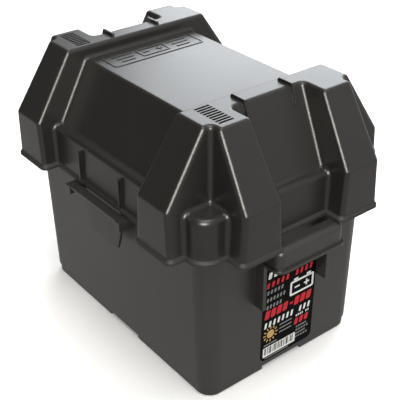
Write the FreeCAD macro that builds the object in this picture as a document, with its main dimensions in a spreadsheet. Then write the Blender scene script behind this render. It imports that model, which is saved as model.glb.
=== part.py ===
import FreeCAD, Part
import math
import os
import re
import Sketcher

# Snap-top battery box: a drafted tub with feet, two strap handles and two latch shelves, and a deep
# lid of sloped blocks around a sunk panel.  Millimetres, +Z up, X along the long side.  The origin is
# on the resting plane, under the middle of the box.

doc = FreeCAD.newDocument("battery_box")

# ---------------------------------------------------------------- driving dimensions
DIMENSIONS = [
    ("wall", 2.5, "moulded wall"),
    ("lip_out", 1.4, "how far the lid's bottom lip stands out"),
    ("lip_tall", 2.1, "straight height of that lip"),
    ("lip_cove", 1.9, "height over which the lip fades into the skirt"),

    ("tub_len", 225.4, "outside length at the foot of the walls"),
    ("tub_wid", 152.5, "outside width at the foot of the walls"),
    ("tub_corner", 13.2, "vertical corner radius of the tub"),
    ("tub_draft", 1.1, "draft of the tub walls, degrees"),
    ("tub_rim", 162.1, "height of the tub's rim"),
    ("bead_out", 0.8, "rim bead, outwards"),
    ("bead_tall", 3.5, "rim bead, height"),
    ("bay_draft", 1.55, "draft of the walls' inner faces, degrees"),
    ("floor_top", 6.5, "battery floor above the resting plane"),
    ("foot_tall", 8.8, "height of the inset foot ring"),
    ("foot_inset", 1.2, "foot ring set in from the wall"),
    ("foot_round", 1.5, "rounding of the foot ring's bottom edge"),
    ("notch_half", 20.5, "half width of the gap between two feet"),
    ("notch_tall", 4.0, "height of the gap between two feet"),

    ("skirt_low", 130.0, "bottom edge of the lid"),
    ("skirt_draft", 1.5, "draft of the lid's skirt, degrees"),
    ("core_len", 242.6, "lid skirt length at the recesses"),
    ("core_wid", 173.0, "lid skirt width at the recesses"),
    ("core_corner", 14.0, "lid skirt corner radius"),
    ("core_top", 165.0, "ledge on top of the skirt"),
    ("core_edge", 4.2, "rounding of the ledge's outer edge"),
    ("lid_top", 220.8, "top of the end ridges"),
    ("shoulder", 169.5, "height where the block slopes begin"),
    ("panel_top", 210.9, "sunk panel between the ridges"),
    ("panel_half", 50.7, "half width of the sunk panel"),
    ("panel_foot", 78.1, "half width at the foot of the panel's slopes"),
    ("ridge_in", 68.9, "inner face of the end ridges, from the middle"),
    ("side_out", 98.6, "end face of the long-side blocks, from the middle"),
    ("side_top", 66.1, "half width at the top of the long-side blocks"),
    ("side_face", 99.6, "half width over the long-side blocks"),
    ("end_in", 32.6, "inner face of the end blocks, from the middle"),
    ("end_out", 59.9, "outer face of the end blocks, from the middle"),
    ("block_draft", 3.0, "draft of the blocks' upright faces, degrees"),
    ("end_top", 106.8, "half length at the top of the end blocks"),
    ("end_face", 137.1, "half length over the end blocks"),
    ("recess_top", 85.0, "half length at the top of the end recess"),
    ("recess_foot", 112.6, "half length at the foot of the end recess"),
    ("edge_round", 3.5, "rounding of the lid's outer edges"),

    ("vent_first", 74.5, "middle of the first vent slot, from the middle of the box"),
    ("vent_step", 3.2, "spacing of the vent slots"),
    ("vent_wide", 1.9, "width of a vent slot"),
    ("vent_near", 42.6, "inner end of the vent slots"),
    ("vent_far", 55.0, "outer end of the vent slots"),
    ("vent_count", 9, "vent slots in a group"),

    ("guide_mid", 21.6, "strap guide fins, from the middle"),
    ("guide_thick", 1.7, "strap guide fin thickness"),
    ("guide_tall", 2.3, "strap guide fin height"),
    ("guide_start", 71.6, "inner end of the guide fins"),
    ("guide_drop", 10.5, "how far the fins run down the slope"),

    ("rib_mid", 26.9, "ribs beside the snap tongue, from the middle"),
    ("rib_thick", 1.7, "thickness of those ribs"),
    ("rib_deep", 2.5, "how far those ribs stand out"),
    ("rib_top", 158.7, "top of those ribs"),

    ("handle_half", 31.4, "half width of the end handle"),
    ("handle_out", 139.6, "outer face of the end handle, from the middle"),
    ("handle_top", 129.5, "top of the end handle"),
    ("handle_low", 111.4, "bottom of the end handle"),
    ("handle_wall", 2.2, "handle wall"),
    ("handle_round", 5.2, "rounding of the handle's outer edges"),
    ("handle_root", 116.2, "where the handle's hollow starts, from the middle"),
    ("handle_lip", 1.7, "lip around the bottom of the handle"),
    ("slot_half", 26.0, "half width of the strap slot, for 50 mm webbing"),
    ("slot_deep", 9.0, "depth of the strap slot"),
    ("slot_start", 118.0, "inner side of the strap slot, from the middle"),
    ("gusset_thick", 3.0, "gusset under each end of the handle"),
    ("gusset_out", 123.7, "outer edge of the gussets, from the middle"),
    ("gusset_low", 71.6, "bottom of the gussets"),

    ("shelf_half", 37.5, "half width of the latch shelf"),
    ("shelf_out", 96.5, "outer edge of the latch shelf, from the middle"),
    ("shelf_top", 129.4, "top of the latch shelf"),
    ("shelf_thick", 2.2, "thickness of the latch shelf"),
    ("shelf_step", 0.8, "how far the plate stops short of the lugs"),
    ("lug_wide", 6.3, "width of the lug at each end of the shelf"),
    ("lug_tall", 7.0, "height of that lug"),
    ("gate_half", 29.8, "half width of the opening for the tongue"),
    ("gate_near", 82.5, "inner side of that opening, from the middle"),
    ("gate_far", 88.3, "outer side of that opening, from the middle"),

    ("tongue_half", 24.6, "half width of the snap tongue"),
    ("tongue_tip", 19.0, "half width of its tip"),
    ("tongue_low", 93.7, "bottom of the tongue"),
    ("tongue_taper", 113.4, "height where the tongue starts to narrow"),
    ("tongue_thick", 2.0, "thickness of the tongue"),
    ("tongue_lean", 1.2, "how far the tip leans out"),
    ("tongue_round", 4.2, "rounding of the tip's corners"),
    ("barb_out", 1.2, "how far the barb stands out"),
    ("barb_tall", 6.0, "height of the barb"),
    ("hinge_gap", 0.3, "gap left at each living hinge"),

    ("label_wid", 53.4, "label width"),
    ("label_shift", 2.8, "label off the middle of the end wall"),
    ("label_low", 9.6, "bottom of the label"),
    ("label_tall", 97.1, "label height"),
    ("label_thick", 0.3, "label thickness"),
    ("label_corner", 5.2, "label corner radius"),
    ("label_gap", 0.05, "gap left between label and wall"),
]

sheet = doc.addObject("Spreadsheet::Sheet", "dims")
for row, (alias, value, note) in enumerate(DIMENSIONS, start=1):
    sheet.set(f"A{row}", alias)
    sheet.set(f"B{row}", str(value))
    sheet.set(f"C{row}", note)
    sheet.setAlias(f"B{row}", alias)
doc.recompute()

ALIASES = sorted((alias for alias, value, note in DIMENSIONS), key=len, reverse=True)
ALIAS_PATTERN = re.compile(r"\b(" + "|".join(ALIASES) + r")\b")
ORIGIN = (-1, 1)
HORIZONTAL_AXIS = -1
VERTICAL_AXIS = -2
NEAR = 0.05


# ---------------------------------------------------------------- helpers
def bind(target, path, text):
    """Bind a property to an expression written with the sheet's aliases."""
    target.setExpression(path, ALIAS_PATTERN.sub(r"dims.\1", text))


def new_body(label):
    body = doc.addObject("PartDesign::Body", label)
    body.Label = label
    body.Placement = FreeCAD.Placement()
    return body


def origin_plane(body, role):
    return next(item for item in body.Origin.OriginFeatures if item.Role == role)


def new_sketch(body, name, role, offset=None):
    """A sketch on one of the body's own planes, moved along the plane's normal by offset."""
    sketch = body.newObject("Sketcher::SketchObject", name)
    sketch.AttachmentSupport = [(origin_plane(body, role), "")]
    sketch.MapMode = "FlatFace"
    if offset:
        bind(sketch, ".AttachmentOffset.Base.z", offset)
    return sketch


def hold(sketch, kind, point, start, text):
    """Dimension a point from the sketch's origin; no text puts it on the axis."""
    if text is None:
        axis = VERTICAL_AXIS if kind == "DistanceX" else HORIZONTAL_AXIS
        sketch.addConstraint(Sketcher.Constraint("PointOnObject", *point, axis))
        return
    row = sketch.addConstraint(Sketcher.Constraint(kind, *ORIGIN, *point, start))
    bind(sketch, f"Constraints[{row}]", text)


def outline(body, name, role, corners, offset=None):
    """A closed polygon; each corner is a pair of expressions, measured from the origin."""
    sketch = new_sketch(body, name, role, offset)
    count = len(corners)
    ring = [2 * math.pi * index / count for index in range(count)]
    spots = [FreeCAD.Vector(90 + 50 * math.cos(turn), 90 + 50 * math.sin(turn), 0) for turn in ring]
    for index in range(count):
        sketch.addGeometry(Part.LineSegment(spots[index], spots[(index + 1) % count]), False)
    for index in range(count):
        following = (index + 1) % count
        sketch.addConstraint(Sketcher.Constraint("Coincident", index, 2, following, 1))
    for index, (across, up) in enumerate(corners):
        hold(sketch, "DistanceX", (index, 1), spots[index].x, across)
        hold(sketch, "DistanceY", (index, 1), spots[index].y, up)
    return sketch


def rectangle(body, name, role, left, right, low, high, offset=None):
    corners = [(left, low), (right, low), (right, high), (left, high)]
    return outline(body, name, role, corners, offset)


def round_outline(body, name, radius, offset):
    """A rectangle with round corners on the XY plane, still to be placed: arcs 0 to 3, then lines."""
    sketch = new_sketch(body, name, "XY_Plane", offset)
    half, bend = 40.0, 10.0
    for index, (sign_x, sign_y) in enumerate(((1, 1), (-1, 1), (-1, -1), (1, -1))):
        middle = FreeCAD.Vector(90 + sign_x * (half - bend), 90 + sign_y * (half - bend), 0)
        circle = Part.Circle(middle, FreeCAD.Vector(0, 0, 1), bend)
        arc = Part.ArcOfCircle(circle, math.radians(90 * index), math.radians(90 * index + 90))
        sketch.addGeometry(arc, False)
    for index in range(4):
        tail = sketch.Geometry[index].EndPoint
        head = sketch.Geometry[(index + 1) % 4].StartPoint
        sketch.addGeometry(Part.LineSegment(tail, head), False)
    for index in range(4):
        sketch.addConstraint(Sketcher.Constraint("Tangent", index, 2, index + 4, 1))
        sketch.addConstraint(Sketcher.Constraint("Tangent", index + 4, 2, (index + 1) % 4, 1))
    for line in (4, 6):
        sketch.addConstraint(Sketcher.Constraint("Horizontal", line))
        sketch.addConstraint(Sketcher.Constraint("Vertical", line + 1))
    for index in range(1, 4):
        sketch.addConstraint(Sketcher.Constraint("Equal", 0, index))
    row = sketch.addConstraint(Sketcher.Constraint("Radius", 0, bend))
    bind(sketch, f"Constraints[{row}]", radius)
    return sketch


def rounded_rectangle(body, name, length, width, radius, offset=None):
    """A rectangle with round corners, centred on the origin."""
    sketch = round_outline(body, name, radius, offset)
    sketch.addConstraint(Sketcher.Constraint("Symmetric", 0, 3, 2, 3, *ORIGIN))
    hold(sketch, "DistanceX", (0, 1), 100.0, f"({length}) / 2")
    hold(sketch, "DistanceY", (0, 2), 70.0, f"({width}) / 2")
    return sketch


def rounded_block(body, name, left, right, low, high, radius, offset=None):
    """A rectangle with round corners in the positive quarter."""
    sketch = round_outline(body, name, radius, offset)
    hold(sketch, "DistanceX", (0, 1), 130.0, right)
    hold(sketch, "DistanceY", (0, 2), 130.0, high)
    hold(sketch, "DistanceX", (2, 1), 50.0, left)
    hold(sketch, "DistanceY", (2, 2), 50.0, low)
    return sketch


def extrude(body, kind, name, sketch, length, taper=None, both_ways=False, backwards=False):
    """A Pad or Pocket of the sketch."""
    feature = body.newObject("PartDesign::" + kind, name)
    feature.Profile = sketch
    feature.SideType = "Symmetric" if both_ways else "One side"
    feature.Reversed = backwards
    feature.Refine = True
    bind(feature, "Length", length)
    if taper:
        bind(feature, "TaperAngle", taper)
    body.Tip = feature
    return feature


def mirror(body, name, features, roles, first=None):
    """Repeat the features on the other side of each named plane, after the first pattern, if any."""
    pattern = body.newObject("PartDesign::MultiTransform", name)
    pattern.Originals = features
    steps = [first] if first else []
    for role in roles:
        step = body.newObject("PartDesign::Mirrored", f"{name}_{role[:2]}")
        step.MirrorPlane = (origin_plane(body, role), [""])
        steps.append(step)
    pattern.Transformations = steps
    pattern.Refine = True
    body.Tip = pattern
    return pattern


def edges_where(shape, test):
    """Names of the shape's edges whose curve passes the test."""
    return [f"Edge{index}" for index, edge in enumerate(shape.Edges, start=1) if test(edge)]


def round_edges(body, name, radius, test):
    """Fillet the edges of the body's last feature that pass the test."""
    doc.recompute()
    base = body.Tip
    feature = body.newObject("PartDesign::Fillet", name)
    feature.Base = (base, edges_where(base.Shape, test))
    bind(feature, "Radius", radius)
    body.Tip = feature
    return feature


def reading(alias):
    return float(sheet.get(alias))


def flat_at(height):
    """A test for edges that lie level at this height."""
    def test(edge):
        box = edge.BoundBox
        return abs(box.ZMin - height) < NEAR and abs(box.ZMax - height) < NEAR
    return test


def above(height):
    """A test for edges that reach above this height."""
    def test(edge):
        return edge.BoundBox.ZMax > height + NEAR
    return test


def near(value, target):
    return abs(abs(value) - target) < NEAR


def upright_at(out_x, out_y):
    """A test for upright edges over (out_x, out_y), in any quarter of the plan."""
    def test(edge):
        middle = edge.CenterOfMass
        box = edge.BoundBox
        return near(middle.x, out_x) and near(middle.y, out_y) and box.ZLength > max(box.XLength, box.YLength)
    return test


def either(*tests):
    return lambda edge: any(test(edge) for test in tests)


def sloped_block(body, kind, name, axis, inner, sides, low, foot, foot_z, top, top_z, skin):
    """A block whose outer side rises straight to (foot, foot_z) and slopes in to (top, top_z).

    The outer side faces along axis.  inner is where the block starts on that axis and sides are its two
    ends on the other, each a function of the height.  skin moves the outer side, the slope and the top
    inwards by that much, for the hollow inside.
    """
    lean = f"((({foot}) - ({top})) / (({top_z}) - ({foot_z})))"
    across = f"(({skin}) * sqrt(1 + {lean}^2))"
    levels = [
        (low, f"({foot}) - ({skin})"),
        (f"({foot_z}) - ({across} - ({skin})) / {lean}", f"({foot}) - ({skin})"),
        (f"({top_z}) - ({skin})", f"({top}) - {across} + {lean} * ({skin})"),
    ]
    sections = []
    for index, (height, outer) in enumerate(levels):
        along = (inner(height), outer)
        beside = tuple(side(height) for side in sides)
        spans = along + beside if axis == "X" else beside + along
        sections.append(rectangle(body, f"{name}Level{index}", "XY_Plane", *spans, height))
    block = body.newObject(f"PartDesign::{kind}Loft", name)
    block.Profile = sections[0]
    block.Sections = sections[1:]
    block.Ruled = True
    body.Tip = block
    return block


def steady(text):
    """The same place at every height."""
    return lambda height: text


def leaning(text, sign):
    """A place that moves out (+) or in (-) towards the bottom, with the draft of the blocks."""
    return lambda height: f"{text} {sign} (lid_top - ({height})) * tan(block_draft)"


def lid_blocks(body, kind, prefix, skin, reach):
    """The four blocks of one quarter of the lid; reach carries a hollow one into its neighbour."""
    ledge = "core_top - wall - edge_round"
    low = "skirt_low" if kind == "Additive" else "skirt_low - lip_tall"
    ridge = leaning(f"ridge_in + {skin}", "-")
    side_ends = (ridge, leaning(f"side_out - {skin}", "+"))
    end_ends = (leaning(f"end_in + {skin}", "-"), leaning(f"end_out - {skin}", "+"))
    panel_ends = (steady(None), steady(f"ridge_in + {reach}"))
    recess_ends = (steady(None), steady(f"end_in + {reach}"))
    return [
        sloped_block(body, kind, prefix + "Panel", "Y", steady(None), panel_ends, ledge,
                     "panel_foot", "core_top", "panel_half", "panel_top", skin),
        sloped_block(body, kind, prefix + "Recess", "X", ridge, recess_ends, ledge,
                     "recess_foot", "core_top", "recess_top", "lid_top", skin),
        sloped_block(body, kind, prefix + "SideBlock", "Y", steady("end_in + 2 * wall"), side_ends, low,
                     "side_face", "shoulder", "side_top", "lid_top", skin),
        sloped_block(body, kind, prefix + "EndBlock", "X", ridge, end_ends, low,
                     "end_face", "shoulder", "end_top", "lid_top", skin),
    ]


# ---------------------------------------------------------------- lid
BOTH_WAYS = ["YZ_Plane", "XZ_Plane"]

lid = new_body("lid_cover")
core_plan = rounded_rectangle(lid, "CorePlan", "core_len", "core_wid", "core_corner", "skirt_low")
extrude(lid, "Pad", "Core", core_plan, "core_top - skirt_low", taper="-skirt_draft")
round_edges(lid, "CoreEdge", "core_edge", flat_at(reading("core_top")))
outer_blocks = lid_blocks(lid, "Additive", "Outer", "0", "0")
mirror(lid, "OuterBlocks", outer_blocks, BOTH_WAYS)
round_edges(lid, "OuterEdges", "edge_round", above(reading("skirt_low")))

# The lip along the bottom edge: a straight band and a band that fades into the skirt above it.
lip_reach = "((lid_top - skirt_low) * tan(block_draft) + lip_out)"
lip_round = "edge_round + lip_out"
lip_parts = []
for name, height, length, taper in (("Lip", "skirt_low", "lip_tall", None),
                                    ("Cove", "skirt_low + lip_tall", "lip_cove",
                                     "-atan(lip_out / lip_cove)")):
    core_plan = rounded_rectangle(lid, name + "CorePlan", "core_len + 2 * lip_out",
                                  "core_wid + 2 * lip_out", "core_corner + lip_out", height)
    extrude(lid, "Pad", name + "Core", core_plan, length, taper)
    side_plan = rounded_block(lid, name + "SidePlan", f"ridge_in - {lip_reach}",
                              f"side_out + {lip_reach}", "end_in", "side_face + lip_out", lip_round, height)
    end_plan = rounded_block(lid, name + "EndPlan", "ridge_in", "end_face + lip_out",
                             f"end_in - {lip_reach}", f"end_out + {lip_reach}", lip_round, height)
    lip_parts.append(extrude(lid, "Pad", name + "Side", side_plan, length, taper))
    lip_parts.append(extrude(lid, "Pad", name + "End", end_plan, length, taper))
mirror(lid, "LipBlocks", lip_parts, BOTH_WAYS)

# No lip between the ribs, where the snap tongue hangs.
gap_plan = rectangle(lid, "LipGapPlan", "XY_Plane", None, "rib_mid", "core_wid / 2",
                     "core_wid / 2 + 2 * lip_out", "skirt_low")
lip_gap = extrude(lid, "Pocket", "LipGap", gap_plan, "lip_tall + lip_cove", backwards=True)
mirror(lid, "LipGaps", [lip_gap], BOTH_WAYS)

# The hollow inside follows the outside, one wall in.
inner_plan = rounded_rectangle(lid, "InnerPlan", "core_len - 2 * wall", "core_wid - 2 * wall",
                               "core_corner - wall", "skirt_low")
extrude(lid, "Pocket", "InnerCore", inner_plan, "core_top - wall - skirt_low",
        taper="-skirt_draft", backwards=True)
inner_blocks = lid_blocks(lid, "Subtractive", "Inner", "wall", "wall + edge_round")
mirror(lid, "InnerBlocks", inner_blocks, BOTH_WAYS)

# Ribs that stiffen the skirt beside each snap tongue.
rib_side = rectangle(lid, "RibSide", "YZ_Plane", "core_wid / 2 - wall", "core_wid / 2 + rib_deep",
                     "skirt_low + lip_tall", "rib_top", "rib_mid - rib_thick / 2")
rib = extrude(lid, "Pad", "Rib", rib_side, "rib_thick")

# Fins that keep a hold-down strap in place: along the ridge, then down the recess slope.
fall = "((recess_foot - recess_top) / (lid_top - core_top))"
sink = "wall / 2"
guide_side = outline(lid, "GuideSide", "XZ_Plane", [
    ("guide_start", f"lid_top - {sink}"),
    (f"recess_top - {sink}", f"lid_top - {sink}"),
    (f"recess_top - {sink} + {fall} * guide_drop", f"lid_top - {sink} - guide_drop"),
    (f"recess_top + guide_tall + {fall} * guide_drop", f"lid_top - {sink} - guide_drop"),
    ("recess_top + guide_tall", "lid_top + guide_tall"),
    ("guide_start + guide_tall", "lid_top + guide_tall"),
], "guide_mid - guide_thick / 2")
guide = extrude(lid, "Pad", "Guide", guide_side, "guide_thick")
mirror(lid, "RibsAndGuides", [rib, guide], BOTH_WAYS)

# Vent slots through the front corner of each end ridge.
vent_side = rectangle(lid, "VentSide", "XZ_Plane", "vent_first - vent_wide / 2",
                      "vent_first + vent_wide / 2", "lid_top - 2 * wall", "lid_top + wall",
                      "vent_near")
vent = extrude(lid, "Pocket", "Vent", vent_side, "vent_far - vent_near", backwards=True)
vent_row = lid.newObject("PartDesign::LinearPattern", "VentRow")
vent_row.Direction = (origin_plane(lid, "X_Axis"), [""])
vent_row.Occurrences = int(reading("vent_count"))
bind(vent_row, "Length", "vent_step * (vent_count - 1)")
mirror(lid, "Vents", [vent], ["YZ_Plane"], first=vent_row)


# ---------------------------------------------------------------- tub
spread = "tan(tub_draft)"

tub = new_body("base_tub")
foot_plan = rounded_rectangle(tub, "FootPlan", "tub_len - 2 * foot_inset",
                              "tub_wid - 2 * foot_inset", "tub_corner - foot_inset")
extrude(tub, "Pad", "FootRing", foot_plan, "foot_tall")
round_edges(tub, "FootEdge", "foot_round", flat_at(0))
wall_plan = rounded_rectangle(tub, "WallPlan", "tub_len", "tub_wid", "tub_corner", "foot_tall")
extrude(tub, "Pad", "Walls", wall_plan, "tub_rim - foot_tall", taper="tub_draft")
bead_grow = f"2 * (bead_out + {spread} * (tub_rim - foot_tall))"
bead_plan = rounded_rectangle(tub, "BeadPlan", f"tub_len + {bead_grow}", f"tub_wid + {bead_grow}",
                              "tub_corner + bead_out", "tub_rim - bead_tall")
extrude(tub, "Pad", "RimBead", bead_plan, "bead_tall")

# End handles: a rounded hood with a lip, open below and slotted above, standing on two gussets.
inside = "tub_len / 2 - wall / 2"
hood_x = reading("handle_out") - reading("handle_lip")
hood_y = reading("handle_half")
hood_top = reading("handle_top")


def hood_top_edge(edge):
    middle = edge.CenterOfMass
    return flat_at(hood_top)(edge) and (near(middle.x, hood_x) or near(middle.y, hood_y))


hood_plan = rectangle(tub, "HoodPlan", "XY_Plane", inside, "handle_out - handle_lip", None,
                      "handle_half", "handle_low")
hood = extrude(tub, "Pad", "Hood", hood_plan, "handle_top - handle_low")
mirror(tub, "Hoods", [hood], BOTH_WAYS)
round_edges(tub, "HoodEdges", "handle_round", either(upright_at(hood_x, hood_y), hood_top_edge))
rim_plan = rectangle(tub, "HandleRimPlan", "XY_Plane", inside, "handle_out", None,
                     "handle_half + handle_lip", "handle_low")
rim = extrude(tub, "Pad", "HandleRim", rim_plan, "lip_tall")
mirror(tub, "HandleRims", [rim], BOTH_WAYS)
round_edges(tub, "HandleRimEdges", "handle_round + handle_lip",
            upright_at(reading("handle_out"), hood_y + reading("handle_lip")))

hollow_plan = rectangle(tub, "HollowPlan", "XY_Plane", "handle_root",
                        "handle_out - handle_lip - handle_wall", None,
                        "handle_half - handle_wall", "handle_low")
hollow = extrude(tub, "Pocket", "Hollow", hollow_plan, "handle_top - handle_wall - handle_low",
                 backwards=True)
slot_plan = rectangle(tub, "SlotPlan", "XY_Plane", "slot_start", "slot_start + slot_deep", None,
                      "slot_half", "handle_low")
slot = extrude(tub, "Pocket", "Slot", slot_plan, "handle_top - handle_low", backwards=True)
mirror(tub, "HandleHollows", [hollow, slot], BOTH_WAYS)
gusset_side = rectangle(tub, "GussetSide", "XZ_Plane", inside, "gusset_out", "gusset_low",
                        "handle_low + lip_tall", "handle_half + handle_lip - gusset_thick")
gusset = extrude(tub, "Pad", "Gusset", gusset_side, "gusset_thick")

# Latch shelves on the long sides: a plate with a lug at each end and a gate for the snap tongue.
root = "tub_wid / 2 - wall / 2"
plate_plan = rectangle(tub, "PlatePlan", "XY_Plane", None, "shelf_half - lug_wide / 2", root,
                       "shelf_out - shelf_step", "shelf_top - shelf_thick")
plate = extrude(tub, "Pad", "Plate", plate_plan, "shelf_thick")
lug_plan = rectangle(tub, "LugPlan", "XY_Plane", "shelf_half - lug_wide", "shelf_half", root,
                     "shelf_out", "shelf_top - lug_tall")
lug = extrude(tub, "Pad", "Lug", lug_plan, "lug_tall")
mirror(tub, "GussetsAndShelves", [gusset, plate, lug], BOTH_WAYS)
gate_plan = rectangle(tub, "GatePlan", "XY_Plane", None, "gate_half", "gate_near", "gate_far",
                      "shelf_top - shelf_thick")
gate = extrude(tub, "Pocket", "Gate", gate_plan, "shelf_thick", backwards=True)
mirror(tub, "Gates", [gate], BOTH_WAYS)

# The battery space: the floor is a raised cross, with a hollow foot in each corner.
bay_plan = rounded_rectangle(tub, "BayPlan", "tub_len - 2 * wall - 2 * foot_inset",
                             "tub_wid - 2 * wall - 2 * foot_inset",
                             "tub_corner - wall - foot_inset", "wall")
extrude(tub, "Pocket", "Bay", bay_plan, "tub_rim - wall", taper="bay_draft", backwards=True)
long_side = rectangle(tub, "LongFloorSide", "YZ_Plane", None, "notch_half + wall", "wall / 2", "floor_top")
short_side = rectangle(tub, "ShortFloorSide", "XZ_Plane", None, "notch_half + wall", "wall / 2", "floor_top")
floors = [extrude(tub, "Pad", "LongFloor", long_side, "tub_len / 2 - foot_inset - wall / 2"),
          extrude(tub, "Pad", "ShortFloor", short_side, "tub_wid / 2 - foot_inset - wall / 2")]
mirror(tub, "Floors", floors, BOTH_WAYS)
long_gap = rectangle(tub, "LongGapSide", "XZ_Plane", None, "notch_half", None, "notch_tall")
short_gap = rectangle(tub, "ShortGapSide", "YZ_Plane", None, "notch_half", None, "notch_tall")
gaps = [extrude(tub, "Pocket", "LongGap", long_gap, "tub_wid / 2", backwards=True),
        extrude(tub, "Pocket", "ShortGap", short_gap, "tub_len / 2", backwards=True)]
mirror(tub, "FootGaps", gaps, BOTH_WAYS)


# ---------------------------------------------------------------- snap tongues
def snap_tongue(label, turn):
    """A flexible tongue below the skirt, leaning out, with a barb behind the gate in the shelf."""
    body = new_body(label)
    face = "core_wid / 2"
    hinge = "skirt_low - hinge_gap"
    side = outline(body, label + "_side", "YZ_Plane", [
        (f"{face} - tongue_thick", hinge),
        (face, hinge),
        (f"{face} + tongue_lean", "tongue_low"),
        (f"{face} + tongue_lean - tongue_thick", "tongue_low"),
    ])
    extrude(body, "Pad", label + "_plate", side, "2 * tongue_half", both_ways=True)
    barb_top = "shelf_top - shelf_thick - barb_tall"
    barb_side = outline(body, label + "_barb_side", "YZ_Plane", [
        (f"{face} - tongue_thick / 2", barb_top),
        (f"{face} + barb_out", barb_top),
        (f"{face} + barb_out", f"{barb_top} - barb_tall / 4"),
        (f"{face} - tongue_thick / 2", f"{barb_top} - barb_tall"),
    ])
    extrude(body, "Pad", label + "_barb", barb_side, "2 * tongue_tip", both_ways=True)
    corner = outline(body, label + "_corner", "XZ_Plane", [
        ("tongue_half", "tongue_taper"),
        ("tongue_half + wall", "tongue_taper"),
        ("tongue_half + wall", "tongue_low"),
        ("tongue_tip", "tongue_low"),
    ])
    cut = extrude(body, "Pocket", label + "_cut", corner, "2 * side_face", both_ways=True)
    mirror(body, label + "_cuts", [cut], ["YZ_Plane"])
    tip = reading("tongue_tip")
    low = reading("tongue_low")

    def tip_corner(edge):
        box = edge.BoundBox
        return near(edge.CenterOfMass.x, tip) and abs(box.ZMin - low) < NEAR and abs(box.ZMax - low) < NEAR

    round_edges(body, label + "_tip", "tongue_round", tip_corner)
    body.Placement = FreeCAD.Placement(FreeCAD.Vector(), FreeCAD.Rotation(FreeCAD.Vector(0, 0, 1), turn))
    return body


snap_tongue("snap_tongue_front", 180)
snap_tongue("snap_tongue_rear", 0)


# ---------------------------------------------------------------- label
label = new_body("label")
label_plan = rounded_rectangle(label, "LabelPlan", "label_tall", "label_wid", "label_corner")
extrude(label, "Pad", "LabelSheet", label_plan, "label_thick")
middle = "(label_low + label_tall / 2)"
label.Placement = FreeCAD.Placement(FreeCAD.Vector(), FreeCAD.Rotation(FreeCAD.Vector(0, 1, 0), 90))
bind(label, ".Placement.Rotation.Angle", "90 + tub_draft")
bind(label, ".Placement.Base.x", f"tub_len / 2 + {spread} * ({middle} - foot_tall) + label_gap")
bind(label, ".Placement.Base.y", "label_shift")
bind(label, ".Placement.Base.z", middle)


# ---------------------------------------------------------------- check and write
doc.recompute()
for item in doc.Objects:
    if "Invalid" in item.State or "Error" in item.State:
        raise SystemExit(f"{item.Label} failed: {item.State}")

bodies = [item for item in doc.Objects if item.TypeId == "PartDesign::Body"]
for body in bodies:
    if body.Shape.isNull() or not body.Shape.isValid() or len(body.Shape.Solids) != 1:
        raise SystemExit(f"{body.Label} is not one valid solid")

os.makedirs("parts", exist_ok=True)
for body in bodies:
    body.Shape.exportStep(f"parts/{body.Label}.step")
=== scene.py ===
import math

import bmesh
import bpy
from mathutils import Matrix, Vector


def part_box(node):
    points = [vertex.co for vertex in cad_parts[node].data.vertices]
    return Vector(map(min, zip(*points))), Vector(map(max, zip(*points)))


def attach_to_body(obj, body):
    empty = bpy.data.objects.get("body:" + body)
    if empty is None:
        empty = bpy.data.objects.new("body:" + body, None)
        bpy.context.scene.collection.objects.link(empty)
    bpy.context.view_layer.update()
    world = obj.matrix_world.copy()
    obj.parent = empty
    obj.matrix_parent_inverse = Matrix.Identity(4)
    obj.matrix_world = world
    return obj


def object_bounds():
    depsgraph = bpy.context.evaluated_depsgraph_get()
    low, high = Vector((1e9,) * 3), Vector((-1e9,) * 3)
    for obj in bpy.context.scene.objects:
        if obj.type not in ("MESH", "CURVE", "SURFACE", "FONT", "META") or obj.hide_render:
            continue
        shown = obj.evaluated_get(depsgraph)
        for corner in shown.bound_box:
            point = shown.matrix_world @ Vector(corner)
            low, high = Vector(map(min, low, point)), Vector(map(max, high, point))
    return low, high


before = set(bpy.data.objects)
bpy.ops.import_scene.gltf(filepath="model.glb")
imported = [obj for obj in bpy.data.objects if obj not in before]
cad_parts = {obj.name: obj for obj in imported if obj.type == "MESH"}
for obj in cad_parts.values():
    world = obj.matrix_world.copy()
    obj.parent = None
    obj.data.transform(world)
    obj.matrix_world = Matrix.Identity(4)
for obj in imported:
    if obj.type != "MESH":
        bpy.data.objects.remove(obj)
cad_low, cad_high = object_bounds()

# ---------------------------------------------------------------- sizes, in metres
MM = 0.001
INK_RAISE = 0.04 * MM
INK_DEPTH = 0.12 * MM
RELIEF_RAISE = 0.5 * MM
RELIEF_SINK = 0.6 * MM
RELIEF_LINE = 1.4 * MM
RELIEF_SOFTNESS = 0.18 * MM
SIGN_LINE = 1.9 * MM
CASE_ROUND = 1.6 * MM
CASE_WINDOW_ROUND = 0.6 * MM
POST_ROUND = 0.4 * MM
EDGE_WEAR_AND_HIGHLIGHT = 0.5 * MM
GRAIN_DEEP = 0.03 * MM
FLOW_DEEP = 0.12 * MM
PEEL_DEEP = 0.02 * MM
SCUFF_TALL = 4 * MM
SCUFF_FADE = 1.5 * MM
FLOOR_GAP = 0.2 * MM

# ---------------------------------------------------------------- noise scales, per metre
GRAIN = 2600.0
FLOW = 38.0
CLOUD = 9.0
PEEL = 420.0
SPECK = 3200.0
PAPER_FIBRE = 900.0

# ---------------------------------------------------------------- colours, linear
POLYPROPYLENE = (0.0210, 0.0198, 0.0178)
VINYL_BLACK = (0.002, 0.002, 0.0022)
INK_RED = (0.62, 0.035, 0.05)
INK_WHITE = (0.84, 0.84, 0.80)
INK_GREY = (0.26, 0.26, 0.26)
INK_GOLD = (0.60, 0.38, 0.15)
INK_BLACK = (0.006, 0.006, 0.007)
PAPER_DARK = (0.85, 0.845, 0.83)
PAPER_LIGHT = (0.89, 0.885, 0.87)
PAPER_UNSEEN = (0.10, 0.10, 0.10)
PAPER_GLOW = (1.0, 0.98, 0.94)
SURROUND_BRIGHT = (0.92, 0.93, 0.94)
SURROUND_DARK = (0.03, 0.03, 0.03)

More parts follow.
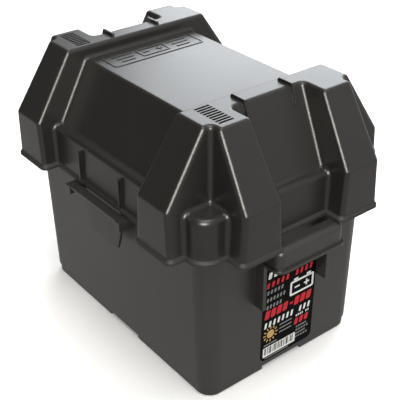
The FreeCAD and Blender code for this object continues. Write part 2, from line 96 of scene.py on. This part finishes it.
# ---------------------------------------------------------------- strength of the floor's glow
GLOW_TO_OBJECT = 0.61
GLOW_TO_CAMERA = 0.22


# ---------------------------------------------------------------- shader helpers
class Graph:
    """A short way to write the nodes of a material or a world."""

    def __init__(self, owner, shader, place):
        owner.use_nodes = True
        self.owner = owner
        self.tree = owner.node_tree
        self.shader = self.tree.nodes[shader]
        self.place = self.add("ShaderNodeTexCoord").outputs[place]

    def add(self, kind, **settings):
        node = self.tree.nodes.new(kind)
        for key, value in settings.items():
            setattr(node, key, value)
        return node

    def join(self, source, target):
        self.tree.links.new(source, target)

    def put(self, value, target):
        """Link a socket, or set a number or a colour."""
        if isinstance(value, bpy.types.NodeSocket):
            self.join(value, target)
        elif isinstance(value, tuple):
            target.default_value = (*value, 1.0)
        else:
            target.default_value = value

    def noise(self, scale, detail=2.0, roughness=0.5):
        node = self.add("ShaderNodeTexNoise")
        node.inputs["Scale"].default_value = scale
        node.inputs["Detail"].default_value = detail
        node.inputs["Roughness"].default_value = roughness
        self.join(self.place, node.inputs["Vector"])
        return node.outputs["Fac"]

    def remap(self, value, span, result, kind="LINEAR"):
        """Carry one span of numbers to another, and clamp outside it."""
        node = self.add("ShaderNodeMapRange", interpolation_type=kind)
        self.join(value, node.inputs["Value"])
        for key, number in zip(("From Min", "From Max", "To Min", "To Max"), span + result):
            node.inputs[key].default_value = number
        return node.outputs["Result"]

    def mix(self, share, first, second):
        node = self.add("ShaderNodeMix", data_type="RGBA")
        for value, index in ((share, 0), (first, 6), (second, 7)):
            self.put(value, node.inputs[index])
        return node.outputs[2]

    def maths(self, kind, first, second):
        node = self.add("ShaderNodeMath", operation=kind)
        self.put(first, node.inputs[0])
        self.put(second, node.inputs[1])
        return node.outputs[0]

    def bump(self, height, strength, distance, normal=None):
        node = self.add("ShaderNodeBump")
        node.inputs["Strength"].default_value = strength
        node.inputs["Distance"].default_value = distance
        self.join(height, node.inputs["Height"])
        if normal:
            self.join(normal, node.inputs["Normal"])
        return node.outputs["Normal"]

    def edge_wear_and_highlight(self, radius):
        """0 on flat ground, rising to 1 on edges sharper than the radius, with the softened normal."""
        soft = self.add("ShaderNodeBevel", samples=6)
        soft.inputs["Radius"].default_value = radius
        flat = self.add("ShaderNodeNewGeometry")
        turn = self.add("ShaderNodeVectorMath", operation="DOT_PRODUCT")
        self.join(soft.outputs["Normal"], turn.inputs[0])
        self.join(flat.outputs["Normal"], turn.inputs[1])
        return self.remap(turn.outputs["Value"], (0.995, 0.86), (0.0, 1.0)), soft.outputs["Normal"]

    def finish(self, **inputs):
        """Set the closing shader's inputs and give back the material."""
        names = {"color": "Base Color", "roughness": "Roughness", "normal": "Normal",
                 "specular": "Specular IOR Level", "glow": "Emission Strength",
                 "glow_color": "Emission Color"}
        for key, value in inputs.items():
            self.put(value, self.shader.inputs[names[key]])
        return self.owner


def surface(name):
    return Graph(bpy.data.materials.new(name), "Principled BSDF", "Object")


def scaled(tone, share):
    return tuple(share * part for part in tone)


# ---------------------------------------------------------------- materials
def moulded_plastic(name, dullness, shine, scuffed_below=None):
    """Fine spark-eroded polypropylene: grain, faint flow marks, dust in the grain, and edges lightened
    partly as rubbed wear and partly as a painted highlight.

    Below the height scuffed_below, handling has made it duller.
    """
    graph = surface(name)
    grain = graph.noise(GRAIN, 3.0, 0.6)
    flow = graph.noise(FLOW, 3.0, 0.55)
    cloud = graph.noise(CLOUD)
    wear_and_highlight, soft = graph.edge_wear_and_highlight(EDGE_WEAR_AND_HIGHLIGHT)
    dust = graph.remap(flow, (0.35, 0.8), (0.0, 0.5))
    body = graph.mix(dust, POLYPROPYLENE, scaled(POLYPROPYLENE, 1.25))
    # Edges lightened to 2.6 times the base tone: partly rubbed wear, partly a painted edge highlight.
    body = graph.mix(graph.maths("MULTIPLY", wear_and_highlight, 0.35), body, scaled(POLYPROPYLENE, 2.6))
    specks = graph.remap(grain, (0.3, 0.7), (dullness - 0.03, dullness + 0.04))
    patches = graph.remap(cloud, (0.3, 0.7), (-0.025, 0.03))
    dull = graph.maths("ADD", specks, patches)
    if scuffed_below:
        height = graph.add("ShaderNodeSeparateXYZ")
        graph.join(graph.place, height.inputs[0])
        fade = (scuffed_below + SCUFF_FADE, scuffed_below)
        dull = graph.maths("ADD", dull, graph.remap(height.outputs["Z"], fade, (0.0, 0.35)))
    fine = graph.bump(grain, 0.35, GRAIN_DEEP, soft)
    return graph.finish(color=body, roughness=dull, normal=graph.bump(flow, 0.06, FLOW_DEEP, fine),
                        specular=shine)


def printed_film(name, ink):
    """Ink on a laminated vinyl label: a soft clear film with a faint orange peel."""
    graph = surface(name)
    peel = graph.noise(PEEL)
    speck = graph.noise(SPECK, 1.0)
    thin = graph.remap(speck, (0.35, 0.75), (0.0, 0.35))
    return graph.finish(color=graph.mix(thin, ink, scaled(ink, 0.82)),
                        roughness=graph.remap(peel, (0.3, 0.7), (0.42, 0.54)),
                        normal=graph.bump(peel, 0.12, PEEL_DEEP), specular=0.03)


def studio_floor():
    """Pale paper: white to the camera, while what it throws on the object is dimmer, even and warm."""
    graph = surface("floor_paper")
    paper = graph.mix(graph.noise(PAPER_FIBRE, 3.0), PAPER_DARK, PAPER_LIGHT)
    seen = graph.add("ShaderNodeLightPath").outputs["Is Camera Ray"]
    glow = graph.remap(seen, (0.0, 1.0), (GLOW_TO_OBJECT, GLOW_TO_CAMERA))
    return graph.finish(color=graph.mix(seen, PAPER_UNSEEN, paper), roughness=0.9, specular=0.1,
                        glow=glow, glow_color=PAPER_GLOW)


# ---------------------------------------------------------------- flat outlines
def rounded_loop(width, height, radius, lean=0.0, steps=5):
    """Points round a rectangle with round corners, centred on the origin; lean slants it."""
    points = []
    for corner, (side, rise) in enumerate(((1, 1), (-1, 1), (-1, -1), (1, -1))):
        for step in range(steps + 1):
            turn = math.radians(90 * corner + 90 * step / steps)
            across = side * (width / 2 - radius) + radius * math.cos(turn)
            up = rise * (height / 2 - radius) + radius * math.sin(turn)
            points.append((across + lean * up, up))
    return points


def circle_loop(radius, count=28):
    turns = [2 * math.pi * step / count for step in range(count)]
    return [(radius * math.cos(turn), radius * math.sin(turn)) for turn in turns]


def plus_loop(size, line):
    """A twelve-sided cross."""
    far, near = size / 2, line / 2
    quarter = [(far, -near), (far, near), (near, near)]
    points = []
    for turn in range(4):
        points += turned(quarter, 90 * turn)
    return points


def shifted(points, across, up):
    return [(x + across, y + up) for x, y in points]


def turned(points, degrees):
    c, s = math.cos(math.radians(degrees)), math.sin(math.radians(degrees))
    return [(c * x - s * y, s * x + c * y) for x, y in points]


# A shape is a pair: its outline, and the outline of its window or None.
def plain(points, across=0.0, up=0.0):
    return shifted(points, across, up), None


def framed(width, height, line, radius, window_radius, across=0.0, up=0.0):
    """A rectangular frame with round corners."""
    window = rounded_loop(width - 2 * line, height - 2 * line, window_radius)
    return shifted(rounded_loop(width, height, radius), across, up), shifted(window, across, up)


# ---------------------------------------------------------------- raised pieces
def add_prism(work, outer, low, high, inner=None):
    """A closed plate between two heights; inner, with as many points, cuts a window in it."""
    def ring(points, height):
        return [work.verts.new((x, y, height)) for x, y in points]

    base, top = ring(outer, low), ring(outer, high)
    count = len(outer)
    pairs = [(index, (index + 1) % count) for index in range(count)]
    for here, there in pairs:
        work.faces.new((base[here], base[there], top[there], top[here]))
    if inner is None:
        work.faces.new(top)
        work.faces.new(base[::-1])
        return
    base_in, top_in = ring(inner, low), ring(inner, high)
    for here, there in pairs:
        work.faces.new((top[here], top[there], top_in[there], top_in[here]))
        work.faces.new((top_in[here], top_in[there], base_in[there], base_in[here]))
        work.faces.new((base_in[here], base_in[there], base[there], base[here]))


def placed(spot, across, up, out):
    """Matrix from a plane's own axes to three directions, at a spot."""
    return Matrix.Translation(spot) @ Matrix((across, up, out)).transposed().to_4x4()


def raised_piece(name, shapes, low, high, place):
    """Shapes as closed plates between two heights over a plane, in one mesh object."""
    work = bmesh.new()
    for outer, inner in shapes:
        add_prism(work, outer, low, high, inner)
    bmesh.ops.recalc_face_normals(work, faces=work.faces)
    bmesh.ops.transform(work, matrix=place, verts=work.verts)
    return linked_object(name, work)


def linked_object(name, work):
    """Put a finished bmesh in the scene."""
    mesh = bpy.data.meshes.new(name)
    work.to_mesh(mesh)
    work.free()
    piece = bpy.data.objects.new(name, mesh)
    bpy.context.scene.collection.objects.link(piece)
    return piece


def attach(piece, material, body):
    piece.data.materials.append(material)
    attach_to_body(piece, body)


# ---------------------------------------------------------------- label print
LABEL_LOW, LABEL_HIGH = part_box("label")
LABEL_WIDE = LABEL_HIGH.y - LABEL_LOW.y
LABEL_TALL = LABEL_HIGH.z - LABEL_LOW.z
SLANT = 0.18


def label_plane():
    """The label's printed face, as a matrix."""
    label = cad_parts["label"]
    out = max(label.data.polygons, key=lambda face: (face.normal.x > 0.5) * face.area).normal
    out = Vector((out.x, 0.0, out.z)).normalized()
    across = Vector((0.0, 1.0, 0.0))
    middle = (LABEL_LOW + LABEL_HIGH) / 2
    proud = max((vert.co - middle).dot(out) for vert in label.data.vertices)
    return placed(middle + out * proud, across, out.cross(across), out)


def at_label(across, up):
    """From shares of the label's width and height to distances from its middle."""
    return (across - 0.5) * LABEL_WIDE, (up - 0.5) * LABEL_TALL


def bar(left, right, up, tall, lean=SLANT, round_share=0.28):
    """A bar in shares of the label, its corners rounded by a share of its shorter side."""
    width = (right - left) * LABEL_WIDE
    height = tall * LABEL_TALL
    loop = rounded_loop(width, height, round_share * min(width, height), lean)
    return plain(loop, *at_label((left + right) / 2, up))


def blocks(left, right, up, tall, counts, fill):
    """Words as slanted blocks: counts gives the blocks in each, fill the ink's share of the pitch."""
    pitch = (right - left) / (sum(counts) + len(counts) - 1)
    shapes, edge = [], left
    for count in counts:
        for step in range(count):
            shapes.append(bar(edge + pitch * step, edge + pitch * (step + fill), up, tall))
        edge += pitch * (count + 1)
    return shapes


def battery_sign(across, up, wide, tall):
    """A battery pictogram: a framed case, two posts, a minus and a plus."""
    x, y = at_label(across, up)
    line = SIGN_LINE
    shapes = [framed(wide, tall, line, CASE_ROUND, CASE_WINDOW_ROUND, x, y)]
    post = rounded_loop(wide * 0.18, line, POST_ROUND)
    for side in (-1, 1):
        shapes.append(plain(post, x + side * wide * 0.27, y + tall / 2 + line * 0.6))
    sign = wide * 0.22
    shapes.append(plain(rounded_loop(sign, line * 0.8, line * 0.2), x - wide * 0.2, y))
    shapes.append(plain(plus_loop(sign, line * 0.8), x + wide * 0.2, y))
    return shapes


def sun_sign(across, up, radius, rays=12):
    """A disc with rays round it."""
    x, y = at_label(across, up)
    ray = rounded_loop(radius * 0.34, radius * 0.16, radius * 0.06, steps=2)
    ray = shifted(ray, radius * 0.86, 0.0)
    disc = plain(circle_loop(radius * 0.52), x, y)
    return [disc] + [plain(turned(ray, 360 / rays * index), x, y) for index in range(rays)]


def stripe_block(left, right, up, tall):
    """A plain block and, apart, the upright stripes on it, of three widths and with four gaps."""
    block = bar(left, right, up, tall, lean=0.0, round_share=0.08)
    thin, raised = 0.006, 0.006
    first, last = left + 0.025, right - 0.03
    stripes, edge, index = [], first, 0
    while edge < last:
        thick = thin * (1 + index * 5 % 3)
        stripes.append(bar(edge, edge + thick, up + raised, tall * 0.74, lean=0.0, round_share=0.1))
        edge += thick + thin * (1 + index * 7 % 4)
        index += 1
    return block, stripes


def red_print():
    """A line of two words near the top, two words joined by a dash, and a short word."""
    shapes = blocks(left=0.06, right=0.96, up=0.751, tall=0.052, counts=(5, 4), fill=0.5)
    shapes += blocks(left=0.05, right=0.50, up=0.466, tall=0.082, counts=(4,), fill=0.78)
    shapes.append(bar(left=0.52, right=0.58, up=0.466, tall=0.020))
    shapes += blocks(left=0.61, right=0.96, up=0.466, tall=0.082, counts=(3,), fill=0.78)
    shapes += blocks(left=0.64, right=0.94, up=0.246, tall=0.064, counts=(3,), fill=0.66)
    return shapes


def white_print():
    """The battery sign, a word at the very top, and two lines below the middle."""
    shapes = battery_sign(0.735, 0.606, 0.46 * LABEL_WIDE, 0.140 * LABEL_TALL)
    shapes += blocks(left=0.08, right=0.50, up=0.842, tall=0.06, counts=(4,), fill=0.6)
    shapes += blocks(left=0.05, right=0.97, up=0.362, tall=0.056, counts=(7, 3), fill=0.46)
    shapes += blocks(left=0.66, right=0.93, up=0.305, tall=0.020, counts=(4, 2), fill=0.6)
    return shapes


def grey_print():
    """Three short words beside the battery sign, and the small print."""
    shapes = []
    for right, up, count in ((0.40, 0.682, 5), (0.44, 0.610, 6), (0.38, 0.540, 5)):
        shapes += blocks(left=0.07, right=right, up=up, tall=0.036, counts=(count,), fill=0.5)
    shapes += [bar(left=0.34, right=0.58, up=up, tall=0.011) for up in (0.300, 0.262, 0.224)]
    for right, up in ((0.90, 0.182), (0.94, 0.147), (0.88, 0.112), (0.93, 0.077)):
        shapes += blocks(left=0.68, right=right, up=up, tall=0.017, counts=(5,), fill=0.7)
    shapes.append(bar(left=0.05, right=0.30, up=0.158, tall=0.011))
    shapes.append(bar(left=0.08, right=0.54, up=0.022, tall=0.010))
    return shapes


def print_piece(name, shapes, ink, level=0):
    """Ink shapes on the label, as one thin raised piece."""
    piece = raised_piece(name, shapes, -INK_DEPTH, INK_RAISE * (level + 1), label_plane())
    attach(piece, printed_film(name, ink), "base")


def build_label_print():
    block, stripes = stripe_block(left=0.04, right=0.67, up=0.086, tall=0.096)
    print_piece("label_print_red", red_print(), INK_RED)
    print_piece("label_print_white", white_print() + [block], INK_WHITE)
    print_piece("label_print_stripes", stripes, INK_BLACK, level=1)
    print_piece("label_print_grey", grey_print(), INK_GREY)
    print_piece("label_print_sun", sun_sign(0.17, 0.258, 0.135 * LABEL_WIDE), INK_GOLD)


# ---------------------------------------------------------------- relief on the lid's sunk panel
LID_LOW, LID_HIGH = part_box("lid_cover")


def panel_height():
    """Height of the sunk panel, found by looking straight down on the lid's middle."""
    middle = (LID_LOW + LID_HIGH) / 2
    start = Vector((middle.x, middle.y, LID_HIGH.z + 10 * MM))
    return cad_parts["lid_cover"].ray_cast(start, Vector((0, 0, -1)))[1].z


def stacked_bars(middle, longest, shorter, pitch):
    """Three bars, one above the other, each shorter than the one over it."""
    shapes = []
    for row in range(3):
        loop = rounded_loop(longest - shorter * row, RELIEF_LINE, 0.5 * MM)
        shapes.append(plain(loop, middle, (1 - row) * pitch))
    return shapes


def relief_shapes():
    """A framed battery sign between two stacks of bars."""
    half_wide = (LID_HIGH.y - LID_LOW.y) * 0.212
    tall = (LID_HIGH.x - LID_LOW.x) * 0.088
    case_wide, case_tall = half_wide * 0.62, tall * 0.56
    line = RELIEF_LINE
    shapes = [framed(2 * half_wide, tall, line, 3 * MM, 1.8 * MM),
              framed(case_wide, case_tall, line, CASE_ROUND, CASE_WINDOW_ROUND)]
    post = rounded_loop(case_wide * 0.2, line, POST_ROUND)
    stack = case_wide / 2 + 4 * MM + half_wide * 0.21
    for side in (-1, 1):
        shapes.append(plain(post, side * case_wide * 0.26, case_tall / 2 + line * 0.6))
        shapes += stacked_bars(side * stack, half_wide * 0.42, half_wide * 0.06, tall * 0.22)
    sign = case_wide * 0.2
    shapes.append(plain(rounded_loop(sign, line, 0.3 * MM), -case_wide * 0.23))
    shapes.append(plain(plus_loop(sign, line), case_wide * 0.23))
    return shapes


def build_relief(material):
    """The relief lies across the panel, near its -X end."""
    across, up = Vector((0, 1, 0)), Vector((-1, 0, 0))
    spot = Vector((LID_LOW.x * 0.365, 0.0, panel_height()))
    place = placed(spot, across, up, across.cross(up))
    piece = raised_piece("panel_relief", relief_shapes(), -RELIEF_SINK, RELIEF_RAISE, place)
    attach(piece, material, "lid")
    soften = piece.modifiers.new("soft edges", "BEVEL")
    soften.width = RELIEF_SOFTNESS
    soften.segments = 2
    soften.limit_method = "ANGLE"


# ---------------------------------------------------------------- studio
MIDDLE = (cad_low + cad_high) / 2
REACH = (cad_high - cad_low).length
DARK_SIDE = Vector((-0.62, -0.74, 0.26))


def area_light(name, towards, distance, size, power, tint):
    """A lamp that faces the object; its distance and size are in lengths of the object's diagonal."""
    data = bpy.data.lights.new(name, "AREA")
    data.shape = "RECTANGLE"
    data.size, data.size_y = (side * REACH for side in size)
    data.energy = power
    data.color = tint
    lamp = bpy.data.objects.new(name, data)
    bpy.context.scene.collection.objects.link(lamp)
    lamp.location = MIDDLE + Vector(towards) * distance * REACH
    lamp.rotation_mode = "QUATERNION"
    lamp.rotation_quaternion = (MIDDLE - lamp.location).to_track_quat("-Z", "Y")
    lamp.visible_camera = False
    return lamp


def build_lights():
    area_light("back_softbox", towards=(-0.54, 0.71, 0.46), distance=4.2, size=(3.0, 2.0),
               power=21.5, tint=(0.92, 0.96, 1.0))
    area_light("overhead", towards=(0.2, -0.1, 1.0), distance=4.0, size=(2.4, 2.4),
               power=24.0, tint=(1.0, 0.99, 0.97))
    gleam = area_light("front_gleam", towards=(0.66, -0.60, 0.45), distance=3.4, size=(1.6, 1.6),
                       power=50.0, tint=(1.0, 0.95, 0.87))
    gleam.visible_diffuse = False


def build_world():
    """A bright surround with one dark side, at the front left, that shapes the dark slopes."""
    world = bpy.data.worlds.new("studio")
    bpy.context.scene.world = world
    graph = Graph(world, "Background", "Generated")
    towards = graph.add("ShaderNodeVectorMath", operation="DOT_PRODUCT")
    towards.inputs[1].default_value = DARK_SIDE.normalized()
    graph.join(graph.place, towards.inputs[0])
    shade = graph.remap(towards.outputs["Value"], (0.05, 0.75), (0.0, 1.0), "SMOOTHSTEP")
    graph.join(graph.mix(shade, SURROUND_BRIGHT, SURROUND_DARK), graph.shader.inputs["Color"])


def build_floor():
    work = bmesh.new()
    bmesh.ops.create_grid(work, x_segments=8, y_segments=8, size=12 * REACH)
    bmesh.ops.translate(work, vec=(0, 0, cad_low.z - FLOOR_GAP), verts=work.verts)
    floor = linked_object("floor", work)
    floor.data.materials.append(studio_floor())


# ---------------------------------------------------------------- camera
AZIMUTH = math.radians(52.32)
ELEVATION = math.radians(31.38)
ROLL = math.radians(-0.72)
AIM = Vector((0.0800, -0.0553, 0.1541))
DISTANCE = 0.6073
LENS = 78.64
SENSOR = 36.0


def build_camera():
    data = bpy.data.cameras.new("camera")
    data.lens = LENS
    data.sensor_width = SENSOR
    data.clip_start = 0.01
    data.clip_end = 50.0
    camera = bpy.data.objects.new("camera", data)
    bpy.context.scene.collection.objects.link(camera)
    level = math.cos(ELEVATION)
    back = Vector((math.sin(AZIMUTH) * level, -math.cos(AZIMUTH) * level, math.sin(ELEVATION)))
    right = Vector((math.cos(AZIMUTH), math.sin(AZIMUTH), 0.0))
    up = back.cross(right)
    across = right * math.cos(ROLL) + up * math.sin(ROLL)
    above = up * math.cos(ROLL) - right * math.sin(ROLL)
    camera.matrix_world = placed(AIM + back * DISTANCE, across, above, back)
    bpy.context.scene.camera = camera


# ---------------------------------------------------------------- put together
def dress(node, material):
    """Give a CAD node its material."""
    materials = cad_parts[node].data.materials
    materials.clear()
    materials.append(material)


tub_plastic = moulded_plastic("tub_plastic", dullness=0.42, shine=0.43)
lid_plastic = moulded_plastic("lid_plastic", dullness=0.33, shine=0.27,
                              scuffed_below=LID_LOW.z + SCUFF_TALL)
tongue_plastic = moulded_plastic("tongue_plastic", dullness=0.40, shine=0.40)
dress("base_tub", tub_plastic)
dress("lid_cover", lid_plastic)
dress("snap_tongue_front", tongue_plastic)
dress("snap_tongue_rear", tongue_plastic)
dress("label", printed_film("label_film", VINYL_BLACK))
build_label_print()
build_relief(lid_plastic)
build_world()
build_floor()
build_lights()
build_camera()
bpy.context.scene.view_settings.view_transform = "Standard"
